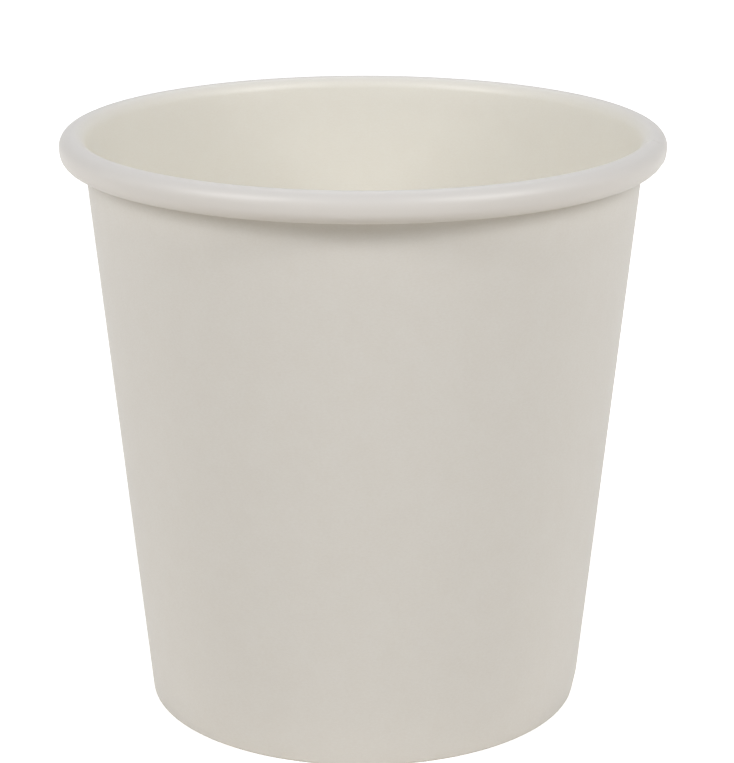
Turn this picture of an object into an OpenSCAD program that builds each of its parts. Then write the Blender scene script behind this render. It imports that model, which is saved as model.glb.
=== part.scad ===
// Small paper cup for hot drinks: a rolled board wall with a curled lip, and a base disc
// sealed into the folded foot.

/* [Cup] */
// Diameter over the rolled lip
lip_d = 62; // [56:0.5:74]
// Diameter of the wall's outer face where it meets the table
foot_d = 45.4; // [40:0.2:50]
// Height from the table to the top of the lip
cup_h = 60.8; // [45:0.2:110]

/* [Board] */
// Thickness of the coated board that the wall is rolled from
wall_t = 0.3; // [0.25:0.01:0.4]
// Thickness of the coated board that the base is pressed from
base_t = 0.3; // [0.25:0.01:0.4]
// Clearance between the base's skirt and the board on each side of it
seal_gap = 0.03; // [0.02:0.01:0.06]

/* [Rolled lip] */
// Width of the roll across its section, with the wall's own thickness
roll_w = 2.7; // [2.2:0.1:3.6]
// Length of the straight side between the two bends of the roll
roll_side = 0.4; // [0.2:0.1:1.2]
// Clearance between the tucked edge of the roll and the wall
tuck_gap = 0.06; // [0.04:0.01:0.15]

/* [Foot] */
// Height of the hem folded up inside the foot
hem_h = 5.2; // [3.5:0.1:8]
// Height of the base's lower face above the table, over the hem
base_lift = 1.2; // [0.8:0.1:4]
// Outer radius of the bend between the base and its skirt
base_bend = 0.8; // [0.6:0.05:1.2]
// Clearance between the skirt's cut edge and the bottom of the fold
skirt_clear = 0.25; // [0.2:0.05:1]
// Depth by which the fold is pressed flat on the table
foot_press = 0.08; // [0.04:0.01:0.12]

/* [Side seam] */
// Width of the lapped side seam
lap_w = 7; // [5:0.5:9]
// Height of the step that the pressed seam leaves at each of its edges
lap_step = 0.2; // [0.1:0.02:0.22]
// Direction of the seam, counted from the right-hand side towards the back
seam_turn = -6; // [-180:1:180]
// Distance off centre of the curve on which the seam eases back into the wall
lap_ease = 3; // [2:0.5:5]

/* [Hidden] */
$fn = 160;
board_white = [0.93, 0.92, 0.89];
base_white = [0.91, 0.90, 0.86];

lip_r = lip_d / 2;
foot_r = foot_d / 2;
roll_r = roll_w / 2;

// Slant of the wall: its outer face starts at the foot and its inner face runs tangent into the roll
bend_out = lip_r - roll_r - foot_r;
bend_up = cup_h - roll_r;
slant = acos((roll_r - wall_t) / norm([bend_out, bend_up])) - atan2(bend_up, bend_out);

// Length of the wall along its slope, up to the upper bend of the roll
wall_len = bend_out * sin(slant) + bend_up * cos(slant);

// Layers at the foot, measured across the wall: wall, skirt of the base, hem
slot_w = base_t + 2 * seal_gap;
fold_w = 2 * wall_t + slot_w;
fold_r = fold_w / 2;
slot_r = slot_w / 2;

// Height of the fold's centre along the wall, with the fold pressed flat by foot_press
fold_v = (fold_r - foot_press - fold_r * sin(slant)) / cos(slant);
base_z = hem_h + base_lift;

// Depth of the skirt's outer face behind the wall's, and how far the base's bend stands proud of the skirt
skirt_out = wall_t + seal_gap;
bend_proud = 0.001;

// Radius of the wall's faces at a height z
function wall_out(z) = foot_r + z * tan(slant);
function wall_in(z) = wall_out(z) - wall_t / cos(slant);
step_r = lap_step / cos(slant);

// Height at which the seam goes in under the roll
seam_top = cup_h - roll_w - roll_side;

// Draws its children in the wall's own frame: x across the wall from its outer face, y up its slope
module along_wall() translate([foot_r, 0]) rotate(-slant) children();

// Outline of the roll, filled in: two bends of radius r joined by straight sides
module roll_shape(r) {
    translate([roll_r - wall_t, wall_len]) circle(r = r);
    translate([roll_r - wall_t, wall_len - roll_side]) circle(r = r);
    translate([roll_r - wall_t - r, wall_len - roll_side]) square([2 * r, roll_side]);
}

// Section of the curled board, open where its edge tucks in against the wall
module roll_ring() {
    open_h = 2 * roll_w;
    difference() {
        roll_shape(roll_r);
        roll_shape(roll_r - wall_t);
        translate([-2 * wall_t, wall_len - 3 * roll_side / 4 - open_h]) square([2 * wall_t + tuck_gap, open_h]);
    }
}

// Outline of the folded foot, filled in and inset by a depth, up to a height along the wall
module fold_shape(inset, top) {
    translate([-fold_r, fold_v]) circle(r = fold_r - inset);
    translate([inset - fold_w, fold_v]) square([fold_w - 2 * inset, top - fold_v]);
}

// Section of the board from its hem, round the fold and up the wall into the roll's straight side
module board_strip() {
    top = wall_len - roll_side / 4;
    difference() {
        fold_shape(0, top);
        fold_shape(wall_t, top + fold_w);
        translate([-2 * fold_w, hem_h]) square([2 * fold_w - fold_r, wall_len]);
    }
}

module wall_section() {
    difference() {
        along_wall() {
            roll_ring();
            board_strip();
        }
        translate([0, -fold_w]) square([lip_r, fold_w]);
    }
}

// Cone that follows the wall's slope, inset by a radius
module slope_cone(inset, z0, z1) {
    translate([0, 0, z0]) cylinder(r1 = wall_out(z0) - inset, r2 = wall_out(z1) - inset, h = z1 - z0);
}

// Cone of the seam, off centre so that it stands one step proud of a face inset by a depth, and eases back
// into it on either side. It is kept up to a distance y1 across the seam.
module seam_cone(inset, z0, z1, y1) {
    intersection() {
        translate([lap_ease + step_r, 0, 0]) slope_cone(lap_ease + inset, z0, z1);
        translate([0, y1 - lip_r, z0]) cube([lip_r, lip_r, z1 - z0]);
    }
}

// Outer layer of the seam, from its cut edge to where it lies flat again
module lap_layer() {
    difference() {
        seam_cone(0, fold_w, seam_top, lap_w / 2);
        slope_cone(wall_t / 2, 0, cup_h);
    }
}

// Space at the seam's inner cut edge, where the board lies one step further out
module lap_relief() {
    seam_cone(wall_t / cos(slant), base_z + base_t, seam_top, -lap_w / 2);
}

module side_wall() {
    color(board_white) rotate(seam_turn) difference() {
        union() {
            rotate_extrude() wall_section();
            lap_layer();
        }
        lap_relief();
    }
}

// Outline of the base, filled in: flat top, bend and skirt, inset by a depth and run on at its open side
module base_shape(inset, run_on) {
    bend_z = base_z + base_t - base_bend;
    bend_x = wall_out(bend_z) - (skirt_out + base_bend - bend_proud) / cos(slant);
    bend_v = (bend_x - foot_r) * sin(slant) + bend_z * cos(slant);
    skirt_low = fold_v + skirt_clear - run_on;
    block_w = base_bend - inset + run_on;
    translate([bend_x, bend_z]) circle(r = base_bend - inset);
    translate([0, bend_z - run_on]) square([bend_x, base_bend - inset + run_on]);
    along_wall() translate([-skirt_out - inset - block_w, skirt_low]) square([block_w, bend_v - skirt_low]);
}

module base_disc() {
    color(base_white) rotate_extrude() difference() {
        base_shape(0, 0);
        base_shape(base_t, 2 * base_bend);
    }
}

side_wall();
base_disc();
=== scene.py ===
import math

import bmesh
import bpy
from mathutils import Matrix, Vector


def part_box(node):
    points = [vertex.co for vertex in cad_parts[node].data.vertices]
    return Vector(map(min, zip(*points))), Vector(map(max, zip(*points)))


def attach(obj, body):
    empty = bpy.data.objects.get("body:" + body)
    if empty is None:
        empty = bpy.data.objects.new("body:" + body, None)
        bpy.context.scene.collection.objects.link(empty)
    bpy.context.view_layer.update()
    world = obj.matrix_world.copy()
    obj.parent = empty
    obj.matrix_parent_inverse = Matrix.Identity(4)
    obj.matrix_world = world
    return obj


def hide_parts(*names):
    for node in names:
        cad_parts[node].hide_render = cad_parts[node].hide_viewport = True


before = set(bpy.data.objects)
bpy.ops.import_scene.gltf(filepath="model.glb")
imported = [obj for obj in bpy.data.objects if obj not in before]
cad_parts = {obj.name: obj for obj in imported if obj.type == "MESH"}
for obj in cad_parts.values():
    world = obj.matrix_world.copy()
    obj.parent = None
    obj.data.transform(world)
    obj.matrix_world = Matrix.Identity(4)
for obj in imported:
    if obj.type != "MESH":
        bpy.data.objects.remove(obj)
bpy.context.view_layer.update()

bl_info = {
    "name": "Paper Cup",
    "version": (1, 0, 0),
    "blender": (4, 5, 0),
    "location": "3D View > Sidebar > Paper Cup",
    "description": "A small paper cup with a rolled lip, a lapped side seam and a recessed base",
    "category": "Add Mesh",
}

MM = 0.001
WHITE = "#ffffff"
BODY = "root"
WALL_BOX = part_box("side_wall")
BASE_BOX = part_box("base_disc")
LIP_R = WALL_BOX[1].x
CUP_H = WALL_BOX[1].z
BASE_TOP = BASE_BOX[1].z


# Sizes and colours that a user would change

class CupSizes(bpy.types.PropertyGroup):
    """Sizes of the cup that its outer box doesn't give."""

    foot_radius: bpy.props.FloatProperty(
        name="Foot radius", description="Radius of the wall's outer face where it meets the table",
        default=22.7 * MM, min=0, unit="LENGTH")
    wall_board: bpy.props.FloatProperty(
        name="Wall board", description="Thickness of the board that the wall is rolled from",
        default=0.3 * MM, min=0, unit="LENGTH")
    base_board: bpy.props.FloatProperty(
        name="Base board", description="Thickness of the board that the base is pressed from",
        default=0.3 * MM, min=0, unit="LENGTH")
    seal_gap: bpy.props.FloatProperty(
        name="Seal gap", description="Clearance between the base's skirt and the board on each side of it",
        default=0.03 * MM, min=0, unit="LENGTH")
    roll_width: bpy.props.FloatProperty(
        name="Roll width", description="Width of the rolled lip across its section",
        default=2.7 * MM, min=0, unit="LENGTH")
    roll_side: bpy.props.FloatProperty(
        name="Roll side", description="Length of the straight side between the two bends of the roll",
        default=0.4 * MM, min=0, unit="LENGTH")
    tuck_gap: bpy.props.FloatProperty(
        name="Tuck gap", description="Clearance between the tucked edge of the roll and the wall",
        default=0.06 * MM, min=0, unit="LENGTH")
    hem_height: bpy.props.FloatProperty(
        name="Hem height", description="Height of the hem folded up inside the foot",
        default=5.2 * MM, min=0, unit="LENGTH")
    foot_press: bpy.props.FloatProperty(
        name="Foot press", description="Depth by which the fold is pressed flat on the table",
        default=0.08 * MM, min=0, unit="LENGTH")
    base_bend: bpy.props.FloatProperty(
        name="Base bend", description="Outer radius of the bend between the base and its skirt",
        default=0.8 * MM, min=0, unit="LENGTH")
    skirt_clear: bpy.props.FloatProperty(
        name="Skirt clearance",
        description="Clearance between the skirt's cut edge and the bottom of the fold",
        default=0.25 * MM, min=0, unit="LENGTH")
    lap_width: bpy.props.FloatProperty(
        name="Lap width", description="Width of the lapped side seam",
        default=7 * MM, min=0, unit="LENGTH")
    lap_step: bpy.props.FloatProperty(
        name="Lap step", description="Height of the step that the pressed seam leaves at each of its edges",
        default=0.2 * MM, min=0, unit="LENGTH")
    lap_ease: bpy.props.FloatProperty(
        name="Lap ease", description="Distance off centre of the curve on which the seam eases into the wall",
        default=3 * MM, min=0, unit="LENGTH")
    seam_turn: bpy.props.FloatProperty(
        name="Seam turn", description="Direction of the seam, counted from the right-hand side to the back",
        default=math.radians(-6), unit="ROTATION")


class CupColours(bpy.types.PropertyGroup):
    """Colours of the board, as sRGB hex values."""

    outside: bpy.props.StringProperty(
        name="Outside", description="Bare side of the bleached board", default="#d9d7d3")
    outside_fibre: bpy.props.StringProperty(
        name="Outside fibre", description="Denser clumps of fibre in the bare side", default="#d6d3ce")
    # The inside and inside fibre colours are partly painted light: the coated board drawn lighter and
    # creamier than the bare side, for light bounced round inside the cup
    inside: bpy.props.StringProperty(
        name="Inside", description="Film-coated side of the board", default="#efece3")
    inside_fibre: bpy.props.StringProperty(
        name="Inside fibre", description="Denser clumps of fibre seen through the film", default="#ede9df")
    # The lip colour is painted shade: the coated side drawn greyer and darker over the top and outer side of
    # the roll
    lip: bpy.props.StringProperty(
        name="Lip", description="Film-coated side where it is stretched over the roll", default="#d8d5d2")
    cut_edge: bpy.props.StringProperty(
        name="Cut edge", description="Raw core of the board at its cut edges", default="#d8d0c1")


class StageSettings(bpy.types.PropertyGroup):
    """Camera and light."""

    camera_distance: bpy.props.FloatProperty(
        name="Camera distance", description="From the camera to the middle of the cup",
        default=275.83 * MM, unit="LENGTH")
    camera_height: bpy.props.FloatProperty(
        name="Camera elevation", description="Angle of the camera above the middle of the cup",
        default=math.radians(17.49), unit="ROTATION")
    camera_pitch: bpy.props.FloatProperty(
        name="Camera pitch", description="Angle by which the camera looks down",
        default=math.radians(16.85), unit="ROTATION")
    camera_side: bpy.props.FloatProperty(
        name="Camera side", description="Distance of the camera to the right of the cup's axis",
        default=0.41 * MM, unit="LENGTH")
    lens: bpy.props.FloatProperty(
        name="Lens", description="Focal length of the camera in millimetres",
        default=123.15, min=1, unit="CAMERA")
    sky: bpy.props.FloatProperty(
        name="Room light", description="Strength of the even light from the room", default=0.08)
    lamp: bpy.props.FloatProperty(
        name="Lamp power", description="Power in watts that each lamp takes its share of",
        default=10.9, min=0, unit="POWER")


class CupSettings(bpy.types.PropertyGroup):
    """All settings of the cup."""

    sizes: bpy.props.PointerProperty(type=CupSizes)
    colours: bpy.props.PointerProperty(type=CupColours)
    stage: bpy.props.PointerProperty(type=StageSettings)


# Colour and material helpers

def linear(hex_code):
    """An sRGB hex colour as linear red, green, blue and alpha."""
    parts = [int(hex_code[i:i + 2], 16) / 255 for i in (1, 3, 5)]
    return [p / 12.92 if p <= 0.04045 else ((p + 0.055) / 1.055) ** 2.4 for p in parts] + [1.0]


def add_node(tree, kind, values=None, links=None, **settings):
    """Adds a node with its settings, its input values and its incoming links."""
    made = tree.nodes.new(kind)
    for name, value in settings.items():
        setattr(made, name, value)
    for name, value in (values or {}).items():
        made.inputs[name].default_value = value
    for name, socket in (links or {}).items():
        tree.links.new(socket, made.inputs[name])
    return made


def new_material(name):
    """An empty node material and its tree."""
    material = bpy.data.materials.new(name)
    material.use_nodes = True
    material.node_tree.nodes.clear()
    return material, material.node_tree


def per_metre(size_mm):
    """Scale of a noise whose features are that size."""
    return 1 / (size_mm * MM)


# A Mix node has sockets for each kind of value under the same names, so its colour ones go by their places
MIX_FACTOR = 0
MIX_LOW = 6
MIX_HIGH = 7
MIX_RESULT = 2


def mix_colours(tree, factor, low, high):
    """Socket with the colour between two others, each of them a hex colour or a socket."""
    mix = add_node(tree, "ShaderNodeMix", data_type="RGBA")
    tree.links.new(factor, mix.inputs[MIX_FACTOR])
    for place, colour in ((MIX_LOW, low), (MIX_HIGH, high)):
        if isinstance(colour, str):
            mix.inputs[place].default_value = linear(colour)
        else:
            tree.links.new(colour, mix.inputs[place])
    return mix.outputs[MIX_RESULT]


# Clumps of fibre in board are 2 to 4 mm across. Real fibres are 0.03 mm wide, too fine to show, so they are
# drawn at 0.3 mm. They lie along the board's grain, which runs round the cup.
CLOUD_MM = 3.0
FIBRE_MM = 0.3
FIBRE_STRETCH = 2.2
# Weight of the clumps beside the single fibres in the colour, and the part of each pattern that shows
CLOUD_WEIGHT = 0.5
TINT_RANGE = (0.55, 0.95)
FIBRE_RANGE = (0.3, 0.7)
# Name of the wall's attribute that says where the board runs over the roll, which blends in the lip's painted
# shade
CURL = "curl"


def board_material(name, colour, fibre_colour, roughness, rough_spread, relief_mm, specular, lip_shade_colour=None):
    """Bleached cup board. Clumps of fibre cloud its colour over a few millimetres, and single fibres, which
    run round the cup, give it a fine grain in colour and relief. A lip colour, if given, takes over on the
    top and outer side of the roll as painted shade, greyer and darker than the inside colour."""
    material, tree = new_material(name)
    place = add_node(tree, "ShaderNodeTexCoord")
    cloud = add_node(
        tree, "ShaderNodeTexNoise", {"Scale": per_metre(CLOUD_MM), "Detail": 3.0, "Roughness": 0.55},
        {"Vector": place.outputs["Object"]})
    along = add_node(
        tree, "ShaderNodeMapping", {"Scale": (1.0, 1.0, FIBRE_STRETCH)},
        {"Vector": place.outputs["Object"]})
    fibre = add_node(
        tree, "ShaderNodeTexNoise", {"Scale": per_metre(FIBRE_MM), "Detail": 4.0, "Roughness": 0.6},
        {"Vector": along.outputs["Vector"]})
    both = add_node(
        tree, "ShaderNodeMath", {1: CLOUD_WEIGHT}, {0: cloud.outputs["Fac"], 2: fibre.outputs["Fac"]},
        operation="MULTIPLY_ADD")
    spread = add_node(
        tree, "ShaderNodeMapRange", {"From Min": TINT_RANGE[0], "From Max": TINT_RANGE[1]},
        {"Value": both.outputs["Value"]})
    tint = mix_colours(tree, spread.outputs["Result"], colour, fibre_colour)
    # Painted shade: the lip colour takes over on the roll's top and outer side as the curl attribute rises
    if lip_shade_colour:
        curl = add_node(tree, "ShaderNodeAttribute", attribute_name=CURL)
        tint = mix_colours(tree, curl.outputs["Fac"], tint, lip_shade_colour)
    rough = add_node(
        tree, "ShaderNodeMapRange",
        {"From Min": FIBRE_RANGE[0], "From Max": FIBRE_RANGE[1],
         "To Min": roughness - rough_spread, "To Max": roughness + rough_spread},
        {"Value": fibre.outputs["Fac"]})
    bump = add_node(
        tree, "ShaderNodeBump", {"Strength": 1.0, "Distance": relief_mm * MM},
        {"Height": fibre.outputs["Fac"]})
    shader = add_node(
        tree, "ShaderNodeBsdfPrincipled", {"IOR": 1.5, "Specular IOR Level": specular},
        {"Base Color": tint, "Roughness": rough.outputs["Result"], "Normal": bump.outputs["Normal"]})
    add_node(tree, "ShaderNodeOutputMaterial", links={"Surface": shader.outputs["BSDF"]})
    return material


def board_faces(colours):
    """The board's three surfaces, made once and shared by both pieces: its bare side, smooth calendered paper
    with a dull sheen; its film-coated side, where the film rounds the fibres off and gives the lip a soft
    shine; and the raw core at a cut edge, rough and a little darker."""
    kinds = (
        dict(name="bare_board", colour=colours.outside, fibre_colour=colours.outside_fibre,
             roughness=0.55, rough_spread=0.05, relief_mm=0.008, specular=0.4),
        # Coated side: its colours are lighter and creamier as partly painted bounced light, and its lip
        # colour is painted shade on the roll
        dict(name="coated_board", colour=colours.inside, fibre_colour=colours.inside_fibre,
             roughness=0.42, rough_spread=0.04, relief_mm=0.004, specular=0.45, lip_shade_colour=colours.lip),
        dict(name="cut_board", colour=colours.cut_edge, fibre_colour=colours.outside_fibre,
             roughness=0.85, rough_spread=0.05, relief_mm=0.02, specular=0.3))
    return [bpy.data.materials.get(kind["name"]) or board_material(**kind) for kind in kinds]


# Geometry of the board

# Steps round the cup, the foot's fold and each bend, and cuts along the wall and across the base
SEGMENTS = 256
FOLD_STEPS = 10
BEND_STEPS = 14
WALL_CUTS = 30
BASE_CUTS = 12
# Width over which each step of the seam rises, and the share of the step that is left on the roll
CUT_SPREAD = 0.03 * MM
ROLL_SHARE = 0.3
# Distances under which two points are one, and under which a point lies on a cutting plane
SAME_POINT = 0.0001 * MM
ON_PLANE = 0.001 * MM
# Angle past which an edge is sharp
SHARP_ANGLE = math.radians(40)


class Slope:
    """The wall's own frame: u across the wall from its outer face, v up its slope from the foot."""

    def __init__(self, sizes):
        self.foot_r = sizes.foot_radius
        self.board = sizes.wall_board
        self.roll_r = sizes.roll_width / 2
        out = LIP_R - self.roll_r - self.foot_r
        up = CUP_H - self.roll_r
        self.slant = math.acos((self.roll_r - self.board) / math.hypot(out, up)) - math.atan2(up, out)
        self.length = out * math.sin(self.slant) + up * math.cos(self.slant)
        self.fold_w = 2 * self.board + sizes.base_board + 2 * sizes.seal_gap
        self.fold_r = self.fold_w / 2
        rise = self.fold_r - sizes.foot_press - self.fold_r * math.sin(self.slant)
        self.fold_v = rise / math.cos(self.slant)

    def point(self, u, v):
        """The place of (u, v) in the plane of the cup's axis and its right-hand side."""
        c, s = math.cos(self.slant), math.sin(self.slant)
        return Vector((self.foot_r + u * c + v * s, 0, v * c - u * s))

    def wall_radius(self, z):
        """Radius of the wall's outer face at a height."""
        return self.foot_r + z * math.tan(self.slant)


def start_chain(bm, point):
    """First vertex of a section line."""
    return bm.verts.new(point)


def run_to(bm, last, point):
    """Extends a section line straight to a point."""
    made = bmesh.ops.extrude_vert_indiv(bm, verts=[last])["verts"][0]
    made.co = point
    return made


def bend_round(bm, last, centre, angle, steps):
    """Extends a section line along an arc. A positive angle turns clockwise as seen from the front."""
    made = bmesh.ops.spin(
        bm, geom=[last], cent=centre, axis=(0, 1, 0), angle=angle, steps=steps,
        use_merge=False, use_normal_flip=False, use_duplicate=False)
    return [g for g in made["geom_last"] if isinstance(g, bmesh.types.BMVert)][0]


def turn_full(bm):
    """Spins the section line about the cup's axis and closes the surface."""
    bmesh.ops.spin(
        bm, geom=bm.verts[:] + bm.edges[:], cent=(0, 0, 0), axis=(0, 0, 1), angle=2 * math.pi,
        steps=SEGMENTS, use_merge=True, use_normal_flip=False, use_duplicate=False)
    bmesh.ops.remove_doubles(bm, verts=bm.verts, dist=SAME_POINT)
    bmesh.ops.recalc_face_normals(bm, faces=bm.faces)


def face_towards(bm, face, way):
    """Turns the whole surface round if one of its faces looks away from a direction."""
    if face.normal.dot(way) < 0:
        bmesh.ops.reverse_faces(bm, faces=bm.faces)


def give_thickness(bm, thickness):
    """Adds the board's other side and its cut edges. Returns the vertices of the first side."""
    first = set(bm.verts)
    bmesh.ops.solidify(bm, geom=bm.faces[:], thickness=thickness)
    return first


def finish_piece(bm, name, materials, node):
    """Turns the mesh into a piece that stands for a CAD node."""
    bm.normal_update()
    for face in bm.faces:
        face.smooth = True
    for edge in bm.edges:
        if len(edge.link_faces) == 2 and edge.calc_face_angle() > SHARP_ANGLE:
            edge.smooth = False
    mesh = bpy.data.meshes.new(name)
    bm.to_mesh(mesh)
    bm.free()
    for material in materials:
        mesh.materials.append(material)
    piece = bpy.data.objects.new(name, mesh)
    bpy.context.scene.collection.objects.link(piece)
    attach(piece, BODY)
    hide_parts(node)
    return piece


def paint_sides(bm, first):
    """Gives the first side, the other side and the cut edges their own materials."""
    for face in bm.faces:
        on_first = sum(v in first for v in face.verts)
        if on_first == len(face.verts):
            face.material_index = 0
        elif on_first == 0:
            face.material_index = 1
        else:
            face.material_index = 2


def roll_foot(sizes):
    """Height at which the roll starts on the wall."""
    return CUP_H - sizes.roll_width - sizes.roll_side


def mark_curl(bm, slope, sizes):
    """Writes how far each place is up and over the roll: 0 where the wall runs into it, 1 from its top on."""
    curl = bm.verts.layers.float.new(CURL)
    start = roll_foot(sizes)
    for vert in bm.verts:
        if vert.co.z > start:
            share = (math.hypot(vert.co.x, vert.co.y) - LIP_R) / slope.roll_r + 2
            vert[curl] = min(max(share, 0.0), 1.0)


def wall_sheet(bm, slope, sizes):
    """Bare side of the wall's board: down the hem from its cut edge, round the fold, up the wall and round
    the roll to the tucked edge."""
    inner_r = slope.roll_r - slope.board
    upper = slope.point(inner_r, slope.length)
    lower = slope.point(inner_r, slope.length - sizes.roll_side)
    last = start_chain(bm, slope.point(-slope.fold_w, sizes.hem_height))
    last = run_to(bm, last, slope.point(-slope.fold_w, slope.fold_v))
    last = bend_round(bm, last, slope.point(-slope.fold_r, slope.fold_v), -math.pi, FOLD_STEPS)
    wall_top = run_to(bm, last, slope.point(0, slope.length - sizes.roll_side - slope.roll_r))
    wall_edge = wall_top.link_edges[0]
    last = run_to(bm, wall_top, slope.point(0, slope.length))
    last = bend_round(bm, last, upper, math.pi, BEND_STEPS)
    last = run_to(bm, last, last.co + lower - upper)
    tuck = math.pi - math.acos((inner_r - sizes.tuck_gap) / inner_r)
    bend_round(bm, last, lower, tuck, BEND_STEPS)
    bmesh.ops.subdivide_edges(bm, edges=[wall_edge], cuts=WALL_CUTS)


def seam_place(co, turn):
    """Distance of a point out from the axis towards the seam, and across the seam towards the back."""
    c, s = math.cos(turn), math.sin(turn)
    return co.x * c + co.y * s, co.y * c - co.x * s


def cut_seam(bm, sizes):
    """Adds the vertex lines on which the seam's two steps stand."""
    turn = sizes.seam_turn
    across = Vector((-math.sin(turn), math.cos(turn), 0))
    half = sizes.lap_width / 2
    for y in (-half - CUT_SPREAD, -half, half, half + CUT_SPREAD):
        near = [f for f in bm.faces if seam_place(f.calc_center_median(), turn)[0] > 0]
        edges = dict.fromkeys(e for f in near for e in f.edges)
        verts = dict.fromkeys(v for f in near for v in f.verts)
        bmesh.ops.bisect_plane(
            bm, geom=[*verts, *edges, *near], dist=ON_PLANE,
            plane_co=across * y, plane_no=across, clear_inner=False, clear_outer=False)


def seam_rise(co, slope, sizes):
    """How far the lapped board stands out of the wall at a point, and that point's place across the seam."""
    out, across = seam_place(co, sizes.seam_turn)
    if out <= 0:
        return 0.0, across
    face_r = slope.wall_radius(co.z)
    offset = sizes.lap_ease + sizes.lap_step
    curve_r = face_r - sizes.lap_ease
    angle = math.atan2(across, out)
    side = curve_r ** 2 - (offset * math.sin(angle)) ** 2
    rise = offset * math.cos(angle) + math.sqrt(side) - face_r
    return max(rise, 0.0), across


def raise_seam(bm, slope, sizes, first):
    """Lifts the lap out of the wall on the bare side, and sinks the single board beside its inner edge
    on the coated side, where the step runs on over the roll."""
    bm.normal_update()
    half = sizes.lap_width / 2
    seam_top = roll_foot(sizes)
    moves = []
    for vert in bm.verts:
        rise, across = seam_rise(vert.co, slope, sizes)
        if rise == 0 or vert.co.z < slope.fold_w:
            continue
        outward = Vector((vert.co.x, vert.co.y, 0)).normalized()
        if vert in first:
            if across < half + CUT_SPREAD / 2 and vert.co.z < seam_top and vert.normal.dot(outward) > 0:
                moves.append((vert, outward * rise))
        elif across < -half - CUT_SPREAD / 2 and vert.co.z > BASE_TOP:
            share = 1.0 if vert.co.z < seam_top else ROLL_SHARE
            moves.append((vert, -vert.normal * rise * share))
    for vert, move in moves:
        vert.co += move


class PAPERCUP_OT_side_wall(bpy.types.Operator):
    """Makes the wall from one sheet of board, with its rolled lip, its seam and its folded foot"""

    bl_idname = "paper_cup.side_wall"
    bl_label = "Side Wall"

    def execute(self, context):
        cup = context.scene.paper_cup
        slope = Slope(cup.sizes)
        bm = bmesh.new()
        wall_sheet(bm, slope, cup.sizes)
        turn_full(bm)
        middle = min(bm.faces, key=lambda f: abs(f.calc_center_median().z - CUP_H / 2))
        centre = middle.calc_center_median()
        face_towards(bm, middle, Vector((centre.x, centre.y, 0)))
        cut_seam(bm, cup.sizes)
        first = give_thickness(bm, slope.board)
        raise_seam(bm, slope, cup.sizes, first)
        paint_sides(bm, first)
        mark_curl(bm, slope, cup.sizes)
        for vert in bm.verts:
            # The fold is pressed flat on the table
            vert.co.z = max(vert.co.z, 0)
        finish_piece(bm, "wall_sheet", board_faces(cup.colours), "side_wall")
        return {"FINISHED"}


class PAPERCUP_OT_base_disc(bpy.types.Operator):
    """Makes the base disc with its turned-down skirt"""

    bl_idname = "paper_cup.base_disc"
    bl_label = "Base Disc"

    def execute(self, context):
        cup = context.scene.paper_cup
        sizes = cup.sizes
        slope = Slope(sizes)
        bend_z = BASE_TOP - sizes.base_bend
        out_u = -slope.board - sizes.seal_gap
        bend_x = slope.wall_radius(bend_z) - (sizes.base_bend - out_u) / math.cos(slope.slant)
        centre = Vector((bend_x, 0, bend_z))
        bm = bmesh.new()
        last = start_chain(bm, (0, 0, BASE_TOP))
        last = run_to(bm, last, (bend_x, 0, BASE_TOP))
        flat_edge = last.link_edges[0]
        last = bend_round(bm, last, centre, math.pi / 2 + slope.slant, BEND_STEPS)
        run_to(bm, last, slope.point(out_u, slope.fold_v + sizes.skirt_clear))
        bmesh.ops.subdivide_edges(bm, edges=[flat_edge], cuts=BASE_CUTS)
        turn_full(bm)
        top = max(bm.faces, key=lambda f: f.calc_center_median().z)
        face_towards(bm, top, Vector((0, 0, 1)))
        first = give_thickness(bm, sizes.base_board)
        paint_sides(bm, first)
        bare, coated, cut = board_faces(cup.colours)
        finish_piece(bm, "base_sheet", [coated, bare, cut], "base_disc")
        return {"FINISHED"}


# Stage

def soft_lamp(name, direction, distance, size, power, target):
    """A square soft lamp that faces the cup."""
    light = bpy.data.lights.new(name, "AREA")
    light.shape = "SQUARE"
    light.size = size
    light.energy = power
    lamp = bpy.data.objects.new(name, light)
    toward = Vector(direction).normalized()
    lamp.location = target + toward * distance
    lamp.rotation_euler = toward.to_track_quat("Z", "Y").to_euler()
    bpy.context.scene.collection.objects.link(lamp)
    return lamp


# Lamps stand this many metres from the cup's middle. Each has its turn from the front and its rise as
# angles, its size in metres and its share of the power. The front pair makes the two bright spots on the
# lip, the side pair the short shadow under it, and the far pair lights the wall's edges.
LAMP_DISTANCE = 1.5
LAMPS = (
    ("left_lamp", math.radians(-41), math.radians(43), 0.3, 0.32),
    ("right_lamp", math.radians(41), math.radians(43), 0.3, 0.32),
    ("left_side_lamp", math.radians(-55), math.radians(31), 0.5, 0.74),
    ("right_side_lamp", math.radians(55), math.radians(31), 0.5, 0.74),
    ("left_far_lamp", math.radians(-100), math.radians(12), 0.6, 0.13),
    ("right_far_lamp", math.radians(100), math.radians(12), 0.6, 0.13),
    ("back_lamp", math.radians(180), math.radians(52), 0.7, 0.3),
)

# Width of the camera's sensor, and the least distance at which it sees
SENSOR_MM = 36
NEAREST = 10 * MM

# Warm white that the floor throws back onto the cup, the glow that keeps it clean white to the camera, and
# its side in metres
FLOOR_COLOUR = "#eee7db"
FLOOR_GLOW = 0.6
FLOOR_SIZE = 2.0


def seen_ray(tree):
    """Socket that is 1 for what the camera sees, directly, in a reflection or through glass."""
    ray = add_node(tree, "ShaderNodeLightPath")
    mirrored = add_node(
        tree, "ShaderNodeMath", operation="MAXIMUM",
        links={0: ray.outputs["Is Glossy Ray"], 1: ray.outputs["Is Transmission Ray"]})
    either = add_node(
        tree, "ShaderNodeMath", operation="MAXIMUM",
        links={0: ray.outputs["Is Camera Ray"], 1: mirrored.outputs["Value"]})
    return either.outputs["Value"]


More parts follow.
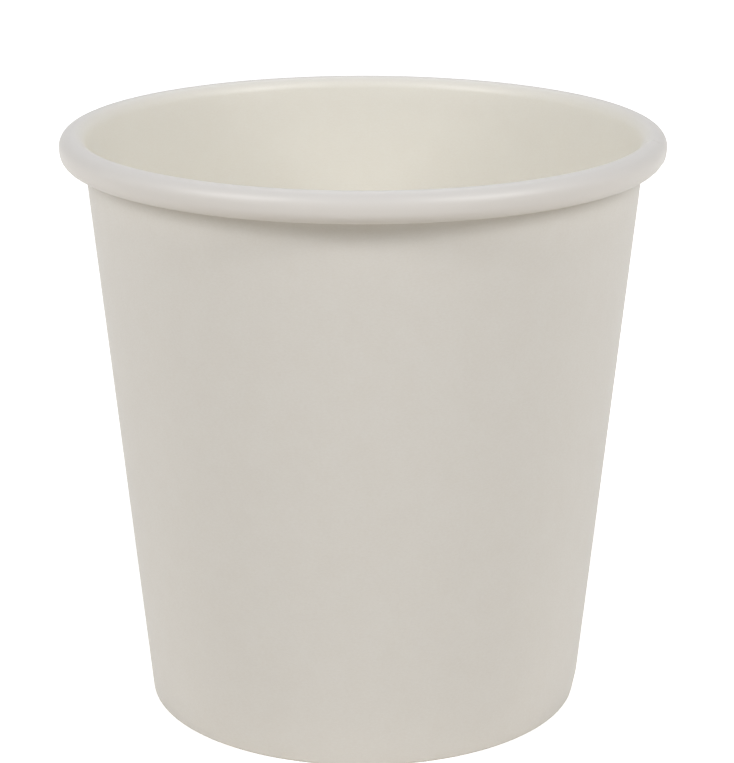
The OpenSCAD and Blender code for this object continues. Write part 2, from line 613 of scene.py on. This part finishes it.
def floor_material():
    """Plain white table. The camera sees it as clean white that keeps the cup's shadow."""
    material, tree = new_material("white_table")
    plain = add_node(tree, "ShaderNodeBsdfDiffuse", {"Color": linear(FLOOR_COLOUR)})
    bright = add_node(tree, "ShaderNodeBsdfDiffuse", {"Color": linear(WHITE)})
    glow = add_node(tree, "ShaderNodeEmission", {"Strength": FLOOR_GLOW})
    seen = add_node(tree, "ShaderNodeAddShader", links={0: bright.outputs[0], 1: glow.outputs[0]})
    mix = add_node(
        tree, "ShaderNodeMixShader",
        links={0: seen_ray(tree), 1: plain.outputs[0], 2: seen.outputs[0]})
    add_node(tree, "ShaderNodeOutputMaterial", links={"Surface": mix.outputs[0]})
    return material


class PAPERCUP_OT_stage(bpy.types.Operator):
    """Makes the floor, the room light, the soft lamps and the camera"""

    bl_idname = "paper_cup.stage"
    bl_label = "Stage"

    def execute(self, context):
        scene = context.scene
        stage = scene.paper_cup.stage
        bm = bmesh.new()
        bmesh.ops.create_grid(bm, x_segments=1, y_segments=1, size=FLOOR_SIZE / 2)
        mesh = bpy.data.meshes.new("table_top")
        bm.to_mesh(mesh)
        bm.free()
        mesh.materials.append(floor_material())
        floor = bpy.data.objects.new("table_top", mesh)
        scene.collection.objects.link(floor)

        world = bpy.data.worlds.new("room")
        world.use_nodes = True
        world.node_tree.nodes.clear()
        tree = world.node_tree
        room = add_node(tree, "ShaderNodeBackground", {"Color": linear(WHITE), "Strength": stage.sky})
        white = add_node(tree, "ShaderNodeBackground", {"Color": linear(WHITE), "Strength": 1.0})
        mix = add_node(
            tree, "ShaderNodeMixShader",
            links={0: seen_ray(tree), 1: room.outputs[0], 2: white.outputs[0]})
        add_node(tree, "ShaderNodeOutputWorld", links={"Surface": mix.outputs[0]})
        scene.world = world

        middle = Vector((0, 0, CUP_H / 2))
        for name, turn, rise, size, share in LAMPS:
            way = Vector((math.sin(turn) * math.cos(rise), -math.cos(turn) * math.cos(rise), math.sin(rise)))
            soft_lamp(name, way, LAMP_DISTANCE, size, share * stage.lamp, middle)

        data = bpy.data.cameras.new("camera")
        data.lens = stage.lens
        data.sensor_width = SENSOR_MM
        data.clip_start = NEAREST
        camera = bpy.data.objects.new("camera", data)
        camera.location = (
            stage.camera_side,
            -stage.camera_distance * math.cos(stage.camera_height),
            middle.z + stage.camera_distance * math.sin(stage.camera_height))
        camera.rotation_euler = (math.pi / 2 - stage.camera_pitch, 0, 0)
        scene.collection.objects.link(camera)
        scene.camera = camera
        scene.view_settings.view_transform = "Standard"
        return {"FINISHED"}


class PAPERCUP_PT_panel(bpy.types.Panel):
    """Lists the cup's pieces and settings"""

    bl_label = "Paper Cup"
    bl_idname = "PAPERCUP_PT_panel"
    bl_space_type = "VIEW_3D"
    bl_region_type = "UI"
    bl_category = "Paper Cup"

    def draw(self, context):
        layout = self.layout
        cup = context.scene.paper_cup
        for step in STEPS:
            layout.operator(step.bl_idname)
        for group in (cup.sizes, cup.colours, cup.stage):
            box = layout.box()
            for name in group.__annotations__:
                box.prop(group, name)


STEPS = (PAPERCUP_OT_side_wall, PAPERCUP_OT_base_disc, PAPERCUP_OT_stage)
CLASSES = (CupSizes, CupColours, StageSettings, CupSettings) + STEPS + (PAPERCUP_PT_panel,)


def register():
    for cls in CLASSES:
        bpy.utils.register_class(cls)
    bpy.types.Scene.paper_cup = bpy.props.PointerProperty(type=CupSettings)


def unregister():
    del bpy.types.Scene.paper_cup
    for cls in reversed(CLASSES):
        bpy.utils.unregister_class(cls)


def main():
    register()
    bpy.ops.paper_cup.side_wall()
    bpy.ops.paper_cup.base_disc()
    bpy.ops.paper_cup.stage()


if __name__ == "__main__":
    main()
